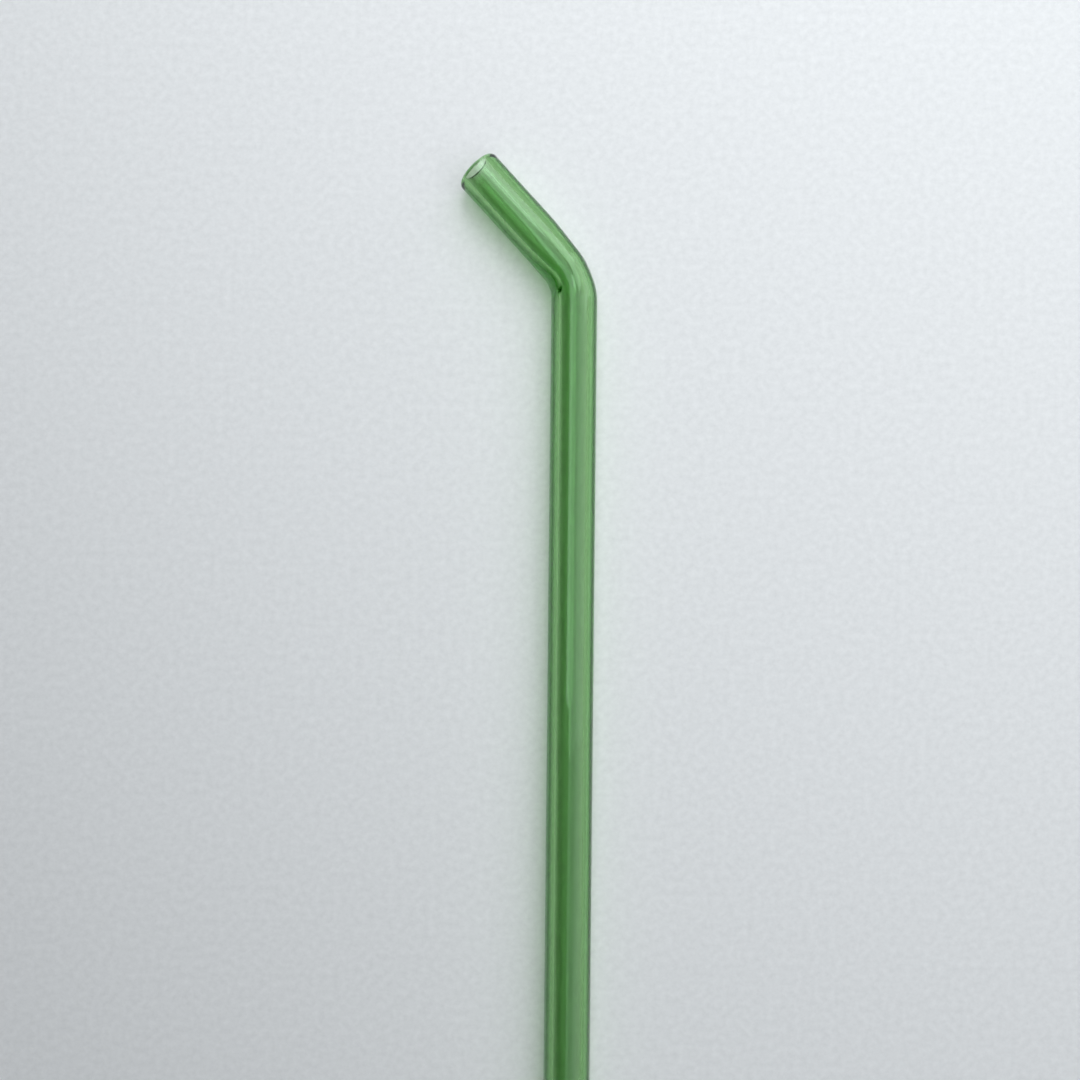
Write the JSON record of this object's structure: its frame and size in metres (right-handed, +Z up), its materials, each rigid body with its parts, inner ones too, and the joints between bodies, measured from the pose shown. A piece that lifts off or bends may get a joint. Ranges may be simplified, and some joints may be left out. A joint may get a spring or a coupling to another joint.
{
  "type": "bent glass drinking straw",
  "caption": "Bent drinking straw of clear green glass: a long straight stem, a hand-made bend and a short drinking arm, hollow from end to end, with rounded fire-polished lips.",
  "frame": {"origin": "on the surface that the straw lies on, under the middle of its plan", "axes": "+Y along the stem, from its foot to the bend; the arm turns from there towards -X; +Z up from the surface"},
  "size_m": [0.028, 0.224, 0.0095],
  "materials": {
    "green_glass": "clear drawn glass, tinted through, with fire-polished ends"
  },
  "bodies": {
    "root": {"glass_straw": "green_glass"}
  },
  "joints": []
}
